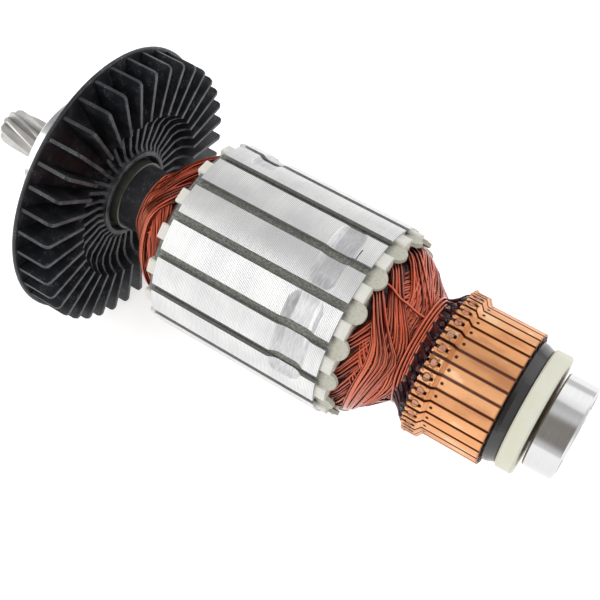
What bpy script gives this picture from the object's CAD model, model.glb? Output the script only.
"""Looks of a wound motor armature: finishes for every part, its coil wires, leads and riser ends."""
import math
import random

import bpy
from mathutils import Matrix, Vector


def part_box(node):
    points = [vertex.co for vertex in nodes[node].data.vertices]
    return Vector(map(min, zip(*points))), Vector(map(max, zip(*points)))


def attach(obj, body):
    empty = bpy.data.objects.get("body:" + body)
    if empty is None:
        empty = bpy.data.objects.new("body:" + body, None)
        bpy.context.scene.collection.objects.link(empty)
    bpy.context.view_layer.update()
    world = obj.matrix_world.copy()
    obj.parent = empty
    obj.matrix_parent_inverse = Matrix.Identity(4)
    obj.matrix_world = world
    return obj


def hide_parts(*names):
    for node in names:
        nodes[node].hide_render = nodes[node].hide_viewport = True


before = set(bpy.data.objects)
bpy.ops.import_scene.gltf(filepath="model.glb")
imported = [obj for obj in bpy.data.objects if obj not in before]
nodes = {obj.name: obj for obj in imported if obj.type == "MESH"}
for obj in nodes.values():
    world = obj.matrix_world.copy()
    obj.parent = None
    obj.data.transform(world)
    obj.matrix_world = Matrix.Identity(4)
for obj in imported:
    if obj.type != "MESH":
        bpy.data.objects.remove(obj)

MM = 0.001
TURN = 2 * math.pi
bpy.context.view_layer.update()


def low_x(node):
    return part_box(node)[0].x / MM


def high_x(node):
    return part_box(node)[1].x / MM


# Stations along the shaft in millimetres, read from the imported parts
X_CORE_DRIVE = low_x("core_stack")
X_CORE_REAR = high_x("core_stack")
X_CORE_MIDDLE = 0.5 * (X_CORE_REAR + X_CORE_DRIVE)
X_RISER = low_x("commutator_bar_01")
X_BAR_END = high_x("commutator_bar_01")
X_FAN_FRONT = high_x("fan")
CORE_HALF = 0.5 * (X_CORE_REAR - X_CORE_DRIVE)

# Radii about the shaft in millimetres
CORE_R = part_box("core_stack")[1].y / MM
RISER_R = 16.85
TRACK_R = 15.6
FAN_BLADE_R = 20.9
FAN_RIB_R = 17.5
FAN_HUB_R = 9.6

# Height of the fan's lowest point in metres
FLOOR_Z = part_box("fan")[0].z

# Slots and bars round the shaft, with the angle of the first slot and of the first gap
SLOT_COUNT = 16
SLOT_PHASE = math.radians(5.5)
BAR_COUNT = 32
BAR_PHASE = math.radians(3.48)
SLOT_PITCH = TURN / SLOT_COUNT
BAR_PITCH = TURN / BAR_COUNT


# ---------- shader language ----------

class Value:
    """An output socket. Arithmetic on one that carries a number adds Math nodes."""

    def __init__(self, shader, socket):
        self.shader = shader
        self.socket = socket

    def math(self, operation, *others):
        return self.shader.math(operation, self, *others)

    def __add__(self, other):
        return self.math("ADD", other)

    def __radd__(self, other):
        return self.shader.math("ADD", other, self)

    def __sub__(self, other):
        return self.math("SUBTRACT", other)

    def __rsub__(self, other):
        return self.shader.math("SUBTRACT", other, self)

    def __mul__(self, other):
        return self.math("MULTIPLY", other)

    def __rmul__(self, other):
        return self.shader.math("MULTIPLY", other, self)

    def __truediv__(self, other):
        return self.math("DIVIDE", other)

    def __gt__(self, other):
        return self.math("GREATER_THAN", other)

    def __lt__(self, other):
        return self.math("LESS_THAN", other)

    def part(self):
        return self.math("FRACT")

    def whole(self):
        return self.math("FLOOR")

    def size(self):
        return self.math("ABSOLUTE")

    def root(self):
        return self.math("SQRT")


class Shader:
    """The nodes of one material, or of the world, added by short calls."""

    def __init__(self, owner, surface="Principled BSDF"):
        owner.use_nodes = True
        self.owner = owner
        self.tree = owner.node_tree
        self.surface = self.tree.nodes[surface]

    def node(self, kind, settings=None, output=0, **inputs):
        """Adds one node: its settings first, then the values or links of its sockets."""
        made = self.tree.nodes.new(kind)
        for key, value in (settings or {}).items():
            setattr(made, key, value)
        for key, value in inputs.items():
            self.fill(made.inputs[key.replace("_", " ")], value)
        return Value(self, made.outputs[output])

    def fill(self, socket, value):
        if isinstance(value, Value):
            self.tree.links.new(value.socket, socket)
        elif socket.type == "RGBA" and len(value) == 3:
            socket.default_value = (*value, 1.0)
        else:
            socket.default_value = value

    def math(self, operation, *values):
        made = self.tree.nodes.new("ShaderNodeMath")
        made.operation = operation
        for socket, value in zip(made.inputs, values):
            self.fill(socket, value)
        return Value(self, made.outputs[0])

    def mix(self, factor, first, second):
        """The first colour where the factor is 0, the second where it is 1."""
        made = self.tree.nodes.new("ShaderNodeMix")
        made.data_type = "RGBA"
        colour_a, colour_b, colour_out = made.inputs[6], made.inputs[7], made.outputs[2]
        self.fill(made.inputs["Factor"], factor)
        self.fill(colour_a, first)
        self.fill(colour_b, second)
        return Value(self, colour_out)

    def place(self):
        """Object coordinates in millimetres."""
        spot = self.node("ShaderNodeTexCoord", output="Object")
        return self.node("ShaderNodeVectorMath", {"operation": "SCALE"}, Vector=spot, Scale=1 / MM)

    def parts(self, vector):
        split = self.tree.nodes.new("ShaderNodeSeparateXYZ")
        self.fill(split.inputs[0], vector)
        return [Value(self, out) for out in split.outputs]

    def polar(self):
        """Station along the shaft, angle about it in radians from +Y, and distance from it."""
        x, y, z = self.parts(self.place())
        return x, z.math("ARCTAN2", y), (y * y + z * z).root()

    def noise(self, scale, detail=3.0, vector=None, roughness=0.55):
        return self.node("ShaderNodeTexNoise", Vector=vector or self.place(), Scale=scale,
                         Detail=detail, Roughness=roughness)

    def facing_out(self):
        """1 where the surface faces away from the shaft or off a coil head's slope, 0 square to it."""
        x, y, z = self.parts(self.place())
        nx, ny, nz = self.parts(self.node("ShaderNodeTexCoord", output="Normal"))
        away = (ny * y + nz * z) / (y * y + z * z).root()
        end = (x > X_CORE_MIDDLE) * 2.0 - 1.0
        return away.math("MAXIMUM", (away + nx * end) * 0.707)

    def ray(self, kind):
        """1 for rays of one kind and 0 for all others."""
        return self.node("ShaderNodeLightPath", output=kind)

    def chance(self, number):
        """A random value for each whole number."""
        return self.node("ShaderNodeTexWhiteNoise", {"noise_dimensions": "1D"}, W=number)

    def stretched(self, x, y, z):
        return self.node("ShaderNodeMapping", Vector=self.place(), Scale=(x, y, z))

    def joined(self, x, y, z):
        return self.node("ShaderNodeCombineXYZ", X=x, Y=y, Z=z)

    def ramp(self, value, low, high):
        """0 at low, 1 at high, and smooth between."""
        return self.node("ShaderNodeMapRange", {"interpolation_type": "SMOOTHSTEP"}, Value=value,
                         From_Min=low, From_Max=high)

    def bump(self, height, distance):
        """A normal raised by the height, whose full range stands for the distance in millimetres."""
        return self.node("ShaderNodeBump", Height=height, Distance=distance * MM)

    def set(self, **inputs):
        """Fills the surface's sockets and hands back the material or the world."""
        for key, value in inputs.items():
            self.fill(self.surface.inputs[key.replace("_", " ")], value)
        return self.owner


def new_shader(name):
    return Shader(bpy.data.materials.new(name))


# ---------- materials ----------

def ground_steel(name, colour, roughness, metallic=1.0):
    """Steel with fine rings from grinding and soft worn places."""
    s = new_shader(name)
    rings = s.noise(1.0, 2.0, s.stretched(9.0, 0.35, 0.35))
    wear = s.noise(0.35, 4.0)
    tone = s.mix(s.ramp(wear, 0.3, 0.7), [c * 0.84 for c in colour], colour)
    return s.set(Base_Color=tone, Metallic=metallic, Roughness=roughness - 0.07 + 0.14 * rings,
                 Normal=s.bump(rings, 0.012))


def lamination_steel():
    """Stack of thin sheets, smooth and bright where a balance cut was milled."""
    s = new_shader("lamination steel")
    x, _, radius = s.polar()
    sheet = 0.35
    across = ((x / sheet).part() - 0.5).size() * 2.0
    joint = s.ramp(across, 0.40, 0.95)
    skin = s.ramp(radius, CORE_R - 0.22, CORE_R - 0.08)
    per_sheet = s.chance((x / sheet).whole())
    mill = s.noise(1.0, 3.0, s.stretched(5.0, 0.5, 0.5))
    cloud = s.noise(0.12, 3.0)
    bright = s.mix(s.ramp(cloud, 0.35, 0.65), (0.76, 0.76, 0.77), (0.86, 0.86, 0.85))
    milled = s.mix(s.ramp(mill, 0.3, 0.7), (0.50, 0.50, 0.51), (0.68, 0.68, 0.69))
    lined = s.mix(joint * (0.42 + 0.22 * per_sheet), bright, (0.30, 0.295, 0.29))
    face = s.mix(skin, milled, lined)
    # The slots' walls, under the deepest cut, stay dark
    outside = s.ramp(radius, CORE_R - 1.4, CORE_R - 1.05)
    colour = s.mix(outside, (0.16, 0.155, 0.14), face)
    rough = 0.37 + 0.03 * per_sheet + 0.04 * (1.0 - skin)
    height = skin * (1.0 - joint) * 0.7 + 0.12 * per_sheet * skin + 0.2 * mill * (1.0 - skin)
    return s.set(Base_Color=colour, Metallic=0.85, Roughness=rough, Normal=s.bump(height, 0.04))


def commutator_copper():
    """Turned copper bars, each of its own tint, with fused and darkened risers."""
    s = new_shader("commutator copper")
    x, angle, radius = s.polar()
    turn = (angle - BAR_PHASE) / BAR_PITCH + BAR_COUNT
    from_middle = turn.part() - 0.5
    number = s.chance(turn.whole())
    turned_line = s.noise(1.0, 2.0, s.stretched(14.0, 0.25, 0.25))
    stain = s.noise(0.20, 4.0, s.joined(x * 0.5, angle * 20.0, radius))
    base = s.mix(number, (0.78, 0.37, 0.16), (0.88, 0.46, 0.23))
    base = s.mix(s.ramp(stain, 0.46, 0.68) * 0.7, base, (0.58, 0.24, 0.11))
    base = s.mix(s.ramp(stain, 0.30, 0.42), (0.94, 0.60, 0.36), base)
    base = s.mix(s.ramp(turned_line, 0.55, 0.8) * 0.35, base, (0.60, 0.30, 0.16))
    # Fused wire end in each riser, burnt round its edge and pitted on the side of the track
    x_fuse = X_RISER + 1.5
    fuse_r = 0.80
    soot = s.noise(1.3, 4.0)
    spot_x = (x - x_fuse) / fuse_r
    spot_a = from_middle * (BAR_PITCH * RISER_R / fuse_r)
    spot = (spot_x * spot_x + spot_a * spot_a).root() + (soot - 0.5) * 0.5
    riser = s.ramp(x, X_RISER + 3.5, X_RISER + 3.1)
    ring = s.ramp((spot - 1.05).size(), 0.30, 0.08) * riser
    pit_x = spot_x - 1.30
    pit = s.ramp((pit_x * pit_x * 5.0 + spot_a * spot_a * 0.8).root(), 0.85, 0.45) * riser
    # Punch mark at the head of the track
    x_mark = X_RISER + 4.7
    mark_r = 0.36
    mark_x = (x - x_mark) / mark_r
    mark_a = from_middle * (BAR_PITCH * TRACK_R / mark_r)
    mark = s.ramp((mark_x * mark_x + mark_a * mark_a).root(), 1.25, 0.85)
    base = s.mix(s.ramp(spot, 0.95, 0.65) * riser * 0.75, base, (0.52, 0.26, 0.22))
    base = s.mix(ring * (0.45 + 0.5 * number), base, (0.11, 0.035, 0.02))
    base = s.mix(pit * s.ramp(soot, 0.35, 0.55) * 0.8, base, (0.16, 0.05, 0.03))
    base = s.mix(mark * 0.9, base, (0.09, 0.03, 0.015))
    grime = riser * s.ramp(soot, 0.52, 0.64) * 0.85
    base = s.mix(grime, base, (0.30, 0.12, 0.05))
    # Browner beside the gaps, at the far end, and on the sides under the track
    base = s.mix(s.ramp(from_middle.size(), 0.35, 0.41) * 0.75, base, (0.26, 0.07, 0.03))
    edge = s.ramp(x, X_BAR_END - 0.35, X_BAR_END - 0.1)
    base = s.mix(edge * 0.6, base, (0.30, 0.12, 0.05))
    base = s.mix(s.ramp(radius, TRACK_R - 0.4, TRACK_R - 0.9), base, (0.20, 0.045, 0.02))
    rough = 0.36 + 0.10 * turned_line + 0.14 * grime
    height = turned_line + riser * soot * 3.0 - ring * 2.5 - pit * 3.0
    return s.set(Base_Color=base, Metallic=0.9, Roughness=rough, Normal=s.bump(height, 0.03))


def bright_copper():
    """Bare copper at the tips of the leads."""
    s = new_shader("bare copper tips")
    cloud = s.noise(1.6, 3.0)
    tone = s.mix(s.ramp(cloud, 0.4, 0.65), (0.90, 0.52, 0.30), (0.50, 0.20, 0.09))
    return s.set(Base_Color=tone, Metallic=0.9, Roughness=0.32 + 0.2 * cloud,
                 Normal=s.bump(cloud, 0.05))


def enamelled_wire(name, light, dark, gloss):
    """Enamel over copper, each wire of its own tint, with darker varnish in patches."""
    s = new_shader(name)
    cloud = s.noise(0.16, 4.0)
    fine = s.noise(1.7, 3.0)
    wire = s.node("ShaderNodeNewGeometry", output="Random Per Island")
    tone = s.mix(s.ramp(wire, 0.0, 0.8) * 0.65 + s.ramp(cloud, 0.35, 0.65) * 0.35, dark, light)
    # About one wire in five is soaked dark
    tone = s.mix(s.ramp(wire, 0.26, 0.18) * 0.7, tone, [c * 0.25 for c in dark])
    # Varnish has run in next to the core, most of all at the slots' mouths
    x, _, radius = s.polar()
    beyond_core = (x - X_CORE_MIDDLE).size() - CORE_HALF
    soaked = s.ramp(beyond_core, 6.0, 2.0) * s.ramp(radius, 27.0, 23.5)
    tone = s.mix(soaked * (0.50 + 0.45 * s.ramp(cloud, 0.62, 0.42)), tone, [c * 0.16 for c in dark])
    tone = s.mix(s.ramp(beyond_core, 2.4, 0.9) * 0.85, tone, [c * 0.22 for c in dark])
    tone = s.mix(s.ramp(fine, 0.58, 0.80) * 0.4, tone, [c * 0.3 for c in dark])
    # Pale crest and dark flanks along each wire
    facing = s.facing_out()
    crest = [min(c * 1.25 + paler, 1.0) for c, paler in zip(light, (0.20, 0.15, 0.12))]
    tone = s.mix(s.ramp(facing, 0.93, 1.0) * 0.80, tone, crest)
    tone = s.mix(s.ramp(facing, 0.94, 0.42) * 0.97, tone, [c * 0.04 for c in dark])
    return s.set(Base_Color=tone, Metallic=0.35, Roughness=gloss + 0.16 * fine,
                 Coat_Weight=0.85 * s.ramp(facing, 0.60, 0.97), Coat_Roughness=0.10,
                 Specular_IOR_Level=0.12, Normal=s.bump(fine, 0.02))


def varnish(name, dark, light, roughness, depth):
    """Dark dripped varnish."""
    s = new_shader(name)
    cloud = s.noise(0.8, 4.0)
    tone = s.mix(s.ramp(cloud, 0.42, 0.66), dark, light)
    return s.set(Base_Color=tone, Roughness=roughness + 0.2 * cloud, Coat_Weight=0.35,
                 Coat_Roughness=0.05, Specular_IOR_Level=0.2, Normal=s.bump(cloud, depth))


def cream_plastic():
    """Insulator plastic, stained by varnish below the feet of its tabs."""
    s = new_shader("cream insulator plastic")
    cloud = s.noise(0.6, 4.0)
    _, _, radius = s.polar()
    tone = s.mix(s.ramp(cloud, 0.35, 0.7), (0.91, 0.88, 0.78), (0.95, 0.93, 0.86))
    stain = s.ramp(radius, 20.7, 19.9) * s.ramp(cloud, 0.36, 0.56)
    tone = s.mix(stain * 0.85, tone, (0.34, 0.16, 0.07))
    return s.set(Base_Color=tone, Roughness=0.42 + 0.12 * cloud, Subsurface_Weight=0.05,
                 Normal=s.bump(s.noise(3.0), 0.01))


def ivory_plastic():
    """Washer plastic, brown with grease round the bearing."""
    s = new_shader("ivory washer plastic")
    cloud = s.noise(0.25, 3.0)
    tone = s.mix(s.ramp(cloud, 0.35, 0.7), (0.93, 0.90, 0.72), (0.95, 0.93, 0.78))
    _, _, radius = s.polar()
    tone = s.mix(s.ramp(radius, 12.4, 11.4) * 0.75, tone, (0.26, 0.17, 0.10))
    return s.set(Base_Color=tone, Roughness=0.38 + 0.1 * cloud, Subsurface_Weight=0.08,
                 Normal=s.bump(s.noise(2.0), 0.008))


def wedge_fibre():
    """Flecked fibre, dark in the slots and paler on the tongues that stand out of them."""
    s = new_shader("grey wedge fibre")
    grain = s.noise(2.4, 5.0, s.stretched(0.7, 1.0, 1.0), 0.7)
    x, _, _ = s.polar()
    out = s.ramp(x, X_CORE_REAR - 0.5, X_CORE_REAR + 1.5)
    inside = s.mix(s.ramp(grain, 0.36, 0.64), (0.13, 0.13, 0.115), (0.30, 0.30, 0.27))
    tongue = s.mix(s.ramp(grain, 0.30, 0.60), (0.52, 0.52, 0.44), (0.67, 0.66, 0.56))
    return s.set(Base_Color=s.mix(out, inside, tongue), Roughness=0.6, Normal=s.bump(grain, 0.05))


def slot_paper():
    """Brown liner paper."""
    s = new_shader("slot liner paper")
    grain = s.noise(1.8, 4.0)
    tone = s.mix(s.ramp(grain, 0.35, 0.65), (0.17, 0.11, 0.07), (0.36, 0.28, 0.19))
    return s.set(Base_Color=tone, Roughness=0.75, Normal=s.bump(grain, 0.04))


def black_plastic():
    """Moulded plastic, rubbed paler along blades and ribs, with a little dust in its pores."""
    s = new_shader("black fan plastic")
    x, _, radius = s.polar()
    grain = s.noise(4.0, 3.0)
    patch = s.noise(0.35, 3.0)
    dust = s.ramp(grain, 0.57, 0.65) * s.ramp(patch, 0.50, 0.60)
    blade_edge = s.ramp(x, X_FAN_FRONT - 0.32, X_FAN_FRONT - 0.12) * (radius > FAN_BLADE_R)
    on_ribs = (radius < FAN_RIB_R) * (radius > FAN_HUB_R)
    rib_edge = s.ramp(x, X_FAN_FRONT - 3.4, X_FAN_FRONT - 3.15) * on_ribs
    tone = s.mix(s.ramp(patch, 0.3, 0.7), (0.012, 0.013, 0.017), (0.024, 0.026, 0.031))
    rubbed = (blade_edge + rib_edge) * s.ramp(patch, 0.25, 0.6)
    tone = s.mix(rubbed, tone, (0.085, 0.090, 0.098))
    tone = s.mix(dust * 0.6, tone, (0.36, 0.37, 0.39))
    return s.set(Base_Color=tone, Roughness=0.34 + 0.18 * grain, Normal=s.bump(grain, 0.015))


def black_resin():
    """Moulding resin, black on the bare collar and copper brown between the bars."""
    s = new_shader("black moulding resin")
    cloud = s.noise(0.6, 3.0)
    x, _, _ = s.polar()
    bare = s.ramp(x, X_BAR_END - 0.1, X_BAR_END + 0.1)
    tone = s.mix(bare, (0.16, 0.035, 0.012), (0.018, 0.017, 0.017))
    return s.set(Base_Color=tone, Roughness=0.12 + 0.16 * cloud, IOR=1.62, Normal=s.bump(cloud, 0.06))


def bearing_steel():
    """Polished steel with faint turned rings."""
    s = new_shader("bearing steel")
    rings = s.noise(1.0, 2.0, s.stretched(7.0, 0.2, 0.2))
    return s.set(Base_Color=s.mix(rings, (0.58, 0.58, 0.59), (0.70, 0.70, 0.70)), Metallic=1.0,
                 Roughness=0.10 + 0.10 * rings, Normal=s.bump(rings, 0.006))


def finish(material, *names):
    """Gives each named part one material."""
    for name in names:
        data = nodes[name].data
        data.materials.clear()
        data.materials.append(material)


def dress_parts(dark_varnish):
    """A finish for every part, with the wound parts in the varnish that shows between wires."""
    finish(ground_steel("ground shaft steel", (0.66, 0.65, 0.63), 0.34), "shaft")
    finish(ground_steel("cut pinion steel", (0.56, 0.55, 0.53), 0.40), "helical_pinion")
    finish(lamination_steel(), "core_stack")
    finish(cream_plastic(), "drive_end_insulator", "commutator_end_insulator")
    finish(slot_paper(), "slot_liners")
    finish(varnish("varnished coil sides", (0.04, 0.010, 0.006), (0.20, 0.032, 0.014), 0.3, 0.2),
           "slot_coils")
    finish(wedge_fibre(), "slot_wedges")
    finish(dark_varnish, "drive_end_windings", "commutator_end_windings", "commutator_leads")
    finish(black_resin(), "commutator_moulding")
    finish(commutator_copper(), *[f"commutator_bar_{i:02d}" for i in range(1, BAR_COUNT + 1)])
    finish(ivory_plastic(), "dust_washer")
    finish(black_plastic(), "fan", "shaft_sleeve")
    finish(ground_steel("bush metal", (0.12, 0.12, 0.10), 0.36, 0.6), "fan_bush")
    steel = bearing_steel()
    shield = ground_steel("pressed shield steel", (0.50, 0.50, 0.50), 0.36)
    cage = ground_steel("cage steel", (0.42, 0.40, 0.36), 0.4)
    for end in ("rear", "drive"):
        finish(steel, f"{end}_outer_ring", f"{end}_inner_ring", f"{end}_balls")
        finish(shield, f"{end}_shields")
        finish(cage, f"{end}_cage")


# ---------- coil wires ----------

def along(points, place):
    """Value at a place on a line through (place, value) points."""
    for (a, first), (b, second) in zip(points, points[1:]):
        if place <= b:
            return first + (second - first) * (place - a) / (b - a)
    return points[-1][1]


# Radius of a coil head over the distance from the core, at its outer wires
REAR_HEAD = [(0.0, 19.9), (4.2, 19.9), (5.5, 19.4), (7.2, 18.2), (9.0, 17.1), (10.6, 15.6),
             (12.4, 14.3), (13.8, 13.2), (14.6, 12.8), (18.0, 12.8)]
DRIVE_HEAD = [(0.0, 19.7), (2.2, 19.6), (6.8, 17.3), (9.5, 15.0), (11.2, 12.4), (13.9, 10.3),
              (16.3, 9.3)]
HEAD_CORE_DEPTH = 2.3
REAR_HEAD_BORE = 7.2
DRIVE_HEAD_BORE = 6.2
WIRE_R = 0.31
WIRES_PER_COIL = 16
COIL_SPAN = 7 * SLOT_PITCH
FIRST_COIL = 5
MEAN_COIL_R = 17.5
# Steps from layer to layer of a coil's wires, in the slot and up on the head
SLOT_LAYER = 0.6
HEAD_LAYER = 0.55
# What each coil wound over another one presses it down by, and the most coils that tell
PRESSED = 0.5
MOST_OVER = 2.8
# The coils wound first lie deep in the slots that they leave and in those that they enter
DEEP_SIDE = 3.6
DEEP_START_COILS = 7
DEEP_END_COILS = 10
# One thin coil, which has two more wound over it
THIN_COIL = 2
THIN_COIL_WIRES = 10
THIN_COIL_RISE = (1.15, 0.75)
# Angles from a slot over which a wire bends out, comes loose, dives in, leaves a deep side, fans out
BEND_ANGLE = math.radians(2.5)
LOOSE_ANGLE = math.radians(12)
DIVE_ANGLE = math.radians(16)
DEEP_ANGLE = math.radians(28)
FAN_ANGLE = math.radians(42)
# Slopes out of and into the slots and crest distance, at the wires that reach furthest and least far
REAR_LAY = {"rise": (0.76, 0.52), "fall": (0.66, 0.40), "peak": (13.9, 8.4)}
REAR_LAST_LAY = {"rise": (0.76, 0.52), "fall": (0.30, 0.17), "peak": (14.6, 9.0)}
DRIVE_LAY = {"rise": (1.15, 0.80), "fall": (0.62, 0.40), "peak": (14.8, 8.6)}
DRIVE_LAST_LAY = {"rise": (1.15, 0.85), "fall": (0.34, 0.20), "peak": (13.4, 8.8)}


def spot(angle, radius, x):
    """Place in metres from an angle, a radius and a station in millimetres."""
    return Vector((x, radius * math.cos(angle), radius * math.sin(angle))) * MM


def smooth(t):
    """0 up to 0, 1 from 1 on, and a soft rise between."""
    t = min(max(t, 0.0), 1.0)
    return t * t * (3 - 2 * t)


def blend(pair, share):
    """Value at a share of the way between the pair."""
    return pair[0] + (pair[1] - pair[0]) * share


def soft_lower(a, b, rounding):
    """The lower of two values, rounded where they cross."""
    near = max(rounding - abs(a - b), 0.0) / rounding
    return min(a, b) - near * near * rounding / 4


def wire_height(turned, left, share, lay):
    """Distance from the core of a wire that climbs at one slope, crests and sinks at another."""
    foot = 0.2
    bend = 2.0
    rounding = 3.0
    out = bend * (1 - math.exp(-min(turned, left) / BEND_ANGLE))
    climb = blend(lay["rise"], share) * MEAN_COIL_R * turned
    sink = blend(lay["fall"], share) * MEAN_COIL_R * left
    crest = blend(lay["peak"], share) - bend
    return foot + out + soft_lower(soft_lower(climb, sink, rounding), crest, rounding)


class Coil:
    """One coil at one end of the core, laid as its place in the order of winding asks."""

    def __init__(self, slot, end, lay, last_lay):
        order = (slot - FIRST_COIL) % SLOT_COUNT
        self.end = end
        self.face, self.head = (X_CORE_REAR, REAR_HEAD) if end > 0 else (X_CORE_DRIVE, DRIVE_HEAD)
        self.slot_angle = SLOT_PHASE + slot * SLOT_PITCH
        self.coils_over = SLOT_COUNT - 1 - order
        self.deep_start = DEEP_SIDE if order < DEEP_START_COILS else 0.0
        self.deep_end = DEEP_SIDE if order < DEEP_END_COILS else 0.0
        self.lay = dict(lay if self.coils_over else last_lay)
        self.wires = WIRES_PER_COIL
        if self.coils_over == THIN_COIL:
            self.wires = THIN_COIL_WIRES
            if end > 0:
                self.lay["rise"] = THIN_COIL_RISE

    def path(self, number, chance):
        """One wire out of a slot, round the shaft, and into another slot."""
        steps = 30
        slot_reach = 1.2
        share = min(max((number + chance.uniform(-0.38, 0.38)) / (self.wires - 1), 0.0), 1.0)
        shift = math.radians(blend((5, -5), share))
        start = self.slot_angle - shift
        span = COIL_SPAN + 2 * shift
        wander = chance.uniform(-0.14, 0.14)
        phase = chance.uniform(0, TURN)
        slot_layer = SLOT_LAYER * (number % 4)
        head_layer = HEAD_LAYER * (number % 2)
        foot_r = self.head[0][1] - WIRE_R - slot_layer
        foot_x = self.face - self.end * slot_reach
        path = [spot(start, foot_r - self.deep_start, foot_x)]
        for i in range(steps + 1):
            turned = span * (1 - math.cos(math.pi * i / steps)) / 2
            left = span - turned
            nearest = min(turned, left)
            out = wire_height(turned, left, share, self.lay)
            out += wander * smooth(nearest / LOOSE_ANGLE) * (1 + math.sin(5 * turned + phase))
            over = min(turned / SLOT_PITCH, self.coils_over, MOST_OVER)
            buried = PRESSED * over * smooth(left / DIVE_ANGLE)
            buried += self.deep_start * (1 - smooth(turned / DEEP_ANGLE))
            buried += self.deep_end * (1 - smooth(left / DEEP_ANGLE))
            spread = smooth(nearest / FAN_ANGLE)
            layer = slot_layer * (1 - spread) + head_layer * spread
            radius = along(self.head, out) - WIRE_R - buried - layer
            path.append(spot(start + turned, radius, self.face + self.end * out))
        path.append(spot(start + span, foot_r - self.deep_end, foot_x))
        return path


def coil_paths(end, lay, last_lay, seed):
    """Wires of every coil at one end."""
    chance = random.Random(seed)
    paths = []
    for slot in range(SLOT_COUNT):
        coil = Coil(slot, end, lay, last_lay)
        for number in range(coil.wires):
            paths.append(coil.path(number, chance))
    return paths


def curved(p, q, r, s, t):
    """Value between q and r, at the share t of the way, on a smooth curve past p and s."""
    return 0.5 * (2 * q + (r - p) * t
                  + (2 * p - 5 * q + 4 * r - s) * t ** 2
                  + (3 * q - p - 3 * r + s) * t ** 3)


def through(points, per_span=6):
    """Points on a smooth curve through a short list of points."""
    ends = [points[0], *points, points[-1]]
    made = []
    for near_points in zip(ends, ends[1:], ends[2:], ends[3:]):
        for i in range(per_span):
            made.append(tuple(curved(*four, i / per_span) for four in zip(*near_points)))
    return made + [points[-1]]


def loose_strand():
    """One strand that lies along the top of the coils, from a slot to the neck: out, angle, lift."""
    route = [(0.5, 98.0, -0.9), (2.2, 95.5, 0.2), (3.6, 93.9, 0.5), (5.0, 93.7, 0.55), (7.3, 95.0, 0.4),
             (9.5, 94.3, 0.35), (11.7, 93.4, 0.35), (13.4, 91.5, 0.2), (14.3, 88.5, -0.6)]
    return [spot(math.radians(angle), along(REAR_HEAD, out) - WIRE_R + lift, X_CORE_REAR + out)
            for out, angle, lift in through(route)]


def neck_strands(seed):
    """Strands drawn round the neck on their way to the bars, three long ones before the others."""
    chance = random.Random(seed)
    steps = 36
    top = 105
    tuck_share = 0.07
    paths = []
    for number in range(9):
        if number < 3:
            out = 13.7 + 0.62 * number
            begin = 34 + chance.uniform(0, 6)
            arc = 300
            lift = 0.45 - 0.12 * number
        else:
            out = 14.6 + 0.42 * (number - 2)
            begin = 34 + chance.uniform(18, 60)
            arc = chance.uniform(150, 260)
            lift = 0.25 - 0.3 * (number % 2)
        path = []
        for i in range(steps + 1):
            share = i / steps
            angle = begin + arc * share
            from_top = abs(angle - top)
            sag = 0.35 * math.cos(math.radians(2 * from_top)) + 0.006 * from_top
            station = out - sag + chance.uniform(-0.03, 0.03)
            # Both ends dip into the varnish, and so does all that lies away from the top
            tucked = 1 - smooth(share / tuck_share) * smooth((1 - share) / tuck_share)
            sunk = 1.3 * tucked + 1.2 * smooth((from_top - 35) / 40)
            radius = along(REAR_HEAD, station) + lift - sunk
            path.append(spot(math.radians(angle), radius, X_CORE_REAR + station))
        paths.append(path)
    return paths


# Distance from the core, share of the slant still to go and radius of a lead on its way to a bar
LEAD_ROUTE = [(15.2, 1.0, 12.5), (15.8, 0.75, 12.9), (16.9, 0.36, 13.7), (17.7, 0.06, 14.9)]


def lead_paths(seed):
    """Two thin leads to each bar, slanting out from the neck and partly sunk in varnish."""
    chance = random.Random(seed)
    bar_out = X_RISER - X_CORE_REAR + 0.2
    bar_r = 15.3
    paths = []
    for number in range(2 * BAR_COUNT):
        foot = BAR_PHASE + (number / 2 + 0.25) * BAR_PITCH + chance.uniform(-0.02, 0.02)
        back = math.radians(chance.uniform(16, 34))
        route = [(out, foot - back * slant, radius) for out, slant, radius in LEAD_ROUTE]
        route.append((bar_out, foot, bar_r))
        sink = chance.uniform(-0.25, 0.15)
        paths.append([spot(angle, radius + sink, X_CORE_REAR + out)
                      for out, angle, radius in through(route, 3)])
    return paths


def wire_object(name, paths, radius, material):
    """All the paths as round wires in one mesh."""
    curve = bpy.data.curves.new(name, "CURVE")
    curve.dimensions = "3D"
    curve.fill_mode = "FULL"
    curve.bevel_depth = radius * MM
    curve.bevel_resolution = 1
    curve.use_fill_caps = True
    for path in paths:
        line = curve.splines.new("POLY")
        line.points.add(len(path) - 1)
        for point, place in zip(line.points, path):
            point.co = (*place, 1.0)
    made = bpy.data.objects.new(name, curve)
    bpy.context.collection.objects.link(made)
    bpy.ops.object.select_all(action="DESELECT")
    made.select_set(True)
    bpy.context.view_layer.objects.active = made
    bpy.ops.object.convert(target="MESH")
    bpy.ops.object.shade_smooth()
    return ready(bpy.context.view_layer.objects.active, material)


def ready(made, material):
    """Gives a finished piece its material, its body and its slot in the record."""
    made.data.materials.clear()
    made.data.materials.append(material)
    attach(made, "rotor")
    return made


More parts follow.
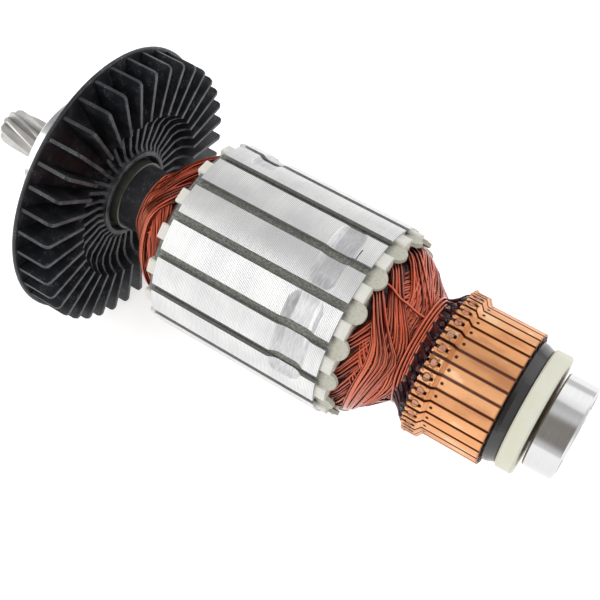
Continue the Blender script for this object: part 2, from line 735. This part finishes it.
def head_core(name, head, face, end, bore, material):
    """Dark body under a coil head's wires, drawn out ring by ring round the shaft."""
    outline = [(out, radius - HEAD_CORE_DEPTH) for out, radius in head]
    outline += [(head[-1][0], bore), (0.0, bore), (0.0, outline[0][1])]
    bpy.ops.object.select_all(action="DESELECT")
    bpy.ops.mesh.primitive_circle_add(vertices=64, radius=outline[0][1] * MM,
                                      location=(face * MM, 0, 0), rotation=(0, TURN / 4, 0))
    made = bpy.context.active_object
    made.name = name
    bpy.ops.object.transform_apply(location=True, rotation=True)
    bpy.ops.object.mode_set(mode="EDIT")
    bpy.ops.mesh.select_all(action="SELECT")
    for (out, radius), (next_out, next_radius) in zip(outline, outline[1:]):
        step = end * (next_out - out) * MM
        grow = next_radius / radius
        bpy.ops.mesh.extrude_region_move(TRANSFORM_OT_translate={"value": (step, 0, 0)})
        bpy.ops.transform.resize(value=(1, grow, grow), center_override=(0, 0, 0))
    bpy.ops.mesh.select_all(action="SELECT")
    bpy.ops.mesh.remove_doubles(threshold=0.01 * MM)
    bpy.ops.mesh.normals_make_consistent(inside=False)
    bpy.ops.object.mode_set(mode="OBJECT")
    bpy.ops.object.shade_smooth_by_angle(angle=math.radians(50))
    return ready(made, material)


def drops(name, places, seed, material):
    """Lumpy drops of one shape, set at (place, radius) and joined."""
    bpy.ops.object.select_all(action="DESELECT")
    bpy.ops.mesh.primitive_ico_sphere_add(subdivisions=2, radius=1.0)
    first = bpy.context.active_object
    bpy.ops.object.mode_set(mode="EDIT")
    bpy.ops.mesh.select_all(action="SELECT")
    bpy.ops.transform.vertex_random(offset=0.18, seed=seed)
    bpy.ops.mesh.normals_make_consistent(inside=False)
    bpy.ops.object.mode_set(mode="OBJECT")
    bpy.ops.object.shade_smooth()
    chance = random.Random(seed)
    copies = []
    for place, radius in places:
        made = first.copy()
        made.data = first.data.copy()
        bpy.context.collection.objects.link(made)
        spin = Matrix.Rotation(chance.uniform(0, TURN), 4, "X")
        made.data.transform(Matrix.Translation(place) @ spin @ Matrix.Scale(radius * MM, 4))
        copies.append(made)
    bpy.data.objects.remove(first)
    bpy.ops.object.select_all(action="DESELECT")
    for made in copies:
        made.select_set(True)
    bpy.context.view_layer.objects.active = copies[0]
    bpy.ops.object.join()
    copies[0].name = name
    return ready(copies[0], material)


def riser_drops(wire_varnish, copper):
    """Varnish that has run against the risers, and the bare tips of the leads."""
    chance = random.Random(31)
    runs = []
    for number in range(2 * BAR_COUNT):
        angle = BAR_PHASE + (number / 2 + chance.uniform(-0.2, 0.2)) * BAR_PITCH
        radius = 14.75 + chance.uniform(-0.35, 0.35)
        place = spot(angle, radius, X_RISER - chance.uniform(0.3, 1.3))
        runs.append((place, chance.uniform(0.5, 0.95)))
    drops("lead_varnish", runs, 7, wire_varnish)
    tips = []
    for number in range(BAR_COUNT):
        for side in (-0.29, 0.29):
            angle = BAR_PHASE + (number + 0.5 + side + chance.uniform(-0.06, 0.06)) * BAR_PITCH
            radius = RISER_R - 0.25 + chance.uniform(-0.15, 0.15)
            place = spot(angle, radius, X_RISER + chance.uniform(0.0, 0.25))
            tips.append((place, chance.uniform(0.30, 0.48)))
    drops("lead_tips", tips, 9, copper)


def coil_pieces(wire, dark_varnish):
    """Wound coil heads in place of the plain ones, and the strands and leads at the commutator."""
    rear = wire_object("rear_coil_wires", coil_paths(1, REAR_LAY, REAR_LAST_LAY, 5), WIRE_R, wire)
    drive = wire_object("drive_coil_wires", coil_paths(-1, DRIVE_LAY, DRIVE_LAST_LAY, 8), WIRE_R, wire)
    rear_core = head_core("rear_coil_varnish", REAR_HEAD, X_CORE_REAR, 1, REAR_HEAD_BORE,
                          dark_varnish)
    drive_core = head_core("drive_coil_varnish", DRIVE_HEAD, X_CORE_DRIVE, -1, DRIVE_HEAD_BORE,
                           dark_varnish)
    for piece in (rear, rear_core):
        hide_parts("commutator_end_windings")
    for piece in (drive, drive_core):
        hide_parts("drive_end_windings")
    wire_object("loose_strand", [loose_strand()], WIRE_R * 1.1, wire)
    wire_object("neck_strands", neck_strands(3), WIRE_R, wire)
    lead = enamelled_wire("lead wire", (0.20, 0.035, 0.03), (0.05, 0.012, 0.018), 0.24)
    wire_object("lead_wires", lead_paths(11), 0.30, lead)


# ---------- stage ----------

def studio_air():
    """White air with two soft dark places, which steel and copper mirror, and white to the eye."""
    world = bpy.data.worlds.new("studio air")
    bpy.context.scene.world = world
    s = Shader(world, "Background")
    x, y, z = s.parts(s.node("ShaderNodeTexCoord", output="Generated"))
    # A tall oval above the near side
    half_width = math.sin(math.radians(17))
    half_height = math.sin(math.radians(36))
    across = (x - 0.05) / half_width
    up = (y + z) * (0.707 / half_height)
    card = s.ramp((across * across + up * up).root(), 1.15, 0.75) * (z - y > 0.3)
    # A fainter round one overhead, towards the drive end
    from_x = x + 0.36
    from_y = y - 0.33
    from_z = z - 0.87
    far = (from_x * from_x + from_y * from_y + from_z * from_z).root()
    shade = s.mix(s.ramp(far, 0.54, 0.20), (1.0, 1.0, 1.0), (0.60, 0.60, 0.61))
    shade = s.mix(card, shade, (0.36, 0.335, 0.30))
    seen = s.ray("Is Camera Ray")
    glossy = s.ray("Is Glossy Ray")
    level = 0.62 + 0.18 * glossy
    s.set(Color=s.mix(seen, shade, (1.0, 1.0, 1.0)), Strength=level * (1.0 - seen) + seen)


def pale_floor():
    """Floor just under the fan, paler to the eye and in mirrors than the light on it makes it."""
    s = new_shader("pale floor")
    seen = s.ray("Is Camera Ray")
    glossy = s.ray("Is Glossy Ray")
    s.set(Base_Color=(0.92, 0.92, 0.92), Roughness=0.9, Emission_Strength=1.0,
          Emission_Color=s.mix(seen.math("MAXIMUM", glossy), (0, 0, 0), (0.6, 0.6, 0.6)))
    bpy.ops.object.select_all(action="DESELECT")
    bpy.ops.mesh.primitive_plane_add(size=4.0, location=(0, 0, FLOOR_Z - 0.0002))
    floor = bpy.context.active_object
    floor.name = "floor"
    floor.data.materials.append(s.owner)


def lamp(name, place, size, power):
    """A round lamp that faces the middle of the armature."""
    middle = Vector((-0.075, 0, 0))
    light = bpy.data.lights.new(name, "AREA")
    light.shape = "DISK"
    light.size = size
    light.energy = power
    made = bpy.data.objects.new(name, light)
    bpy.context.collection.objects.link(made)
    made.location = place
    made.rotation_euler = (middle - Vector(place)).to_track_quat("-Z", "Y").to_euler()


def camera():
    """The view from above, beside the commutator end."""
    lens = bpy.data.cameras.new("camera")
    lens.lens = 64.47
    lens.sensor_width = 36.0
    made = bpy.data.objects.new("camera", lens)
    bpy.context.collection.objects.link(made)
    made.location = Vector((6.62, -109.87, 203.88)) * MM
    view = Vector((-0.28795, 0.44249, -0.84929))
    made.rotation_euler = view.to_track_quat("-Z", "Y").to_euler()
    bpy.context.scene.camera = made


bpy.context.scene.view_settings.view_transform = "Standard"
studio_air()
pale_floor()
camera()
lamp("key lamp", (-0.50, -0.50, 0.45), 0.85, 2.5)
lamp("fill lamp", (0.20, 0.50, 0.50), 0.9, 1.2)

coil_wire = enamelled_wire("enamelled copper wire", (0.78, 0.105, 0.030), (0.34, 0.026, 0.008), 0.30)
coil_varnish = varnish("dark coil varnish", (0.020, 0.008, 0.010), (0.10, 0.018, 0.012), 0.3, 0.2)
lead_varnish = varnish("glossy lead varnish", (0.012, 0.008, 0.014), (0.09, 0.018, 0.018), 0.12, 0.12)
dress_parts(lead_varnish)
coil_pieces(coil_wire, coil_varnish)
riser_drops(lead_varnish, bright_copper())
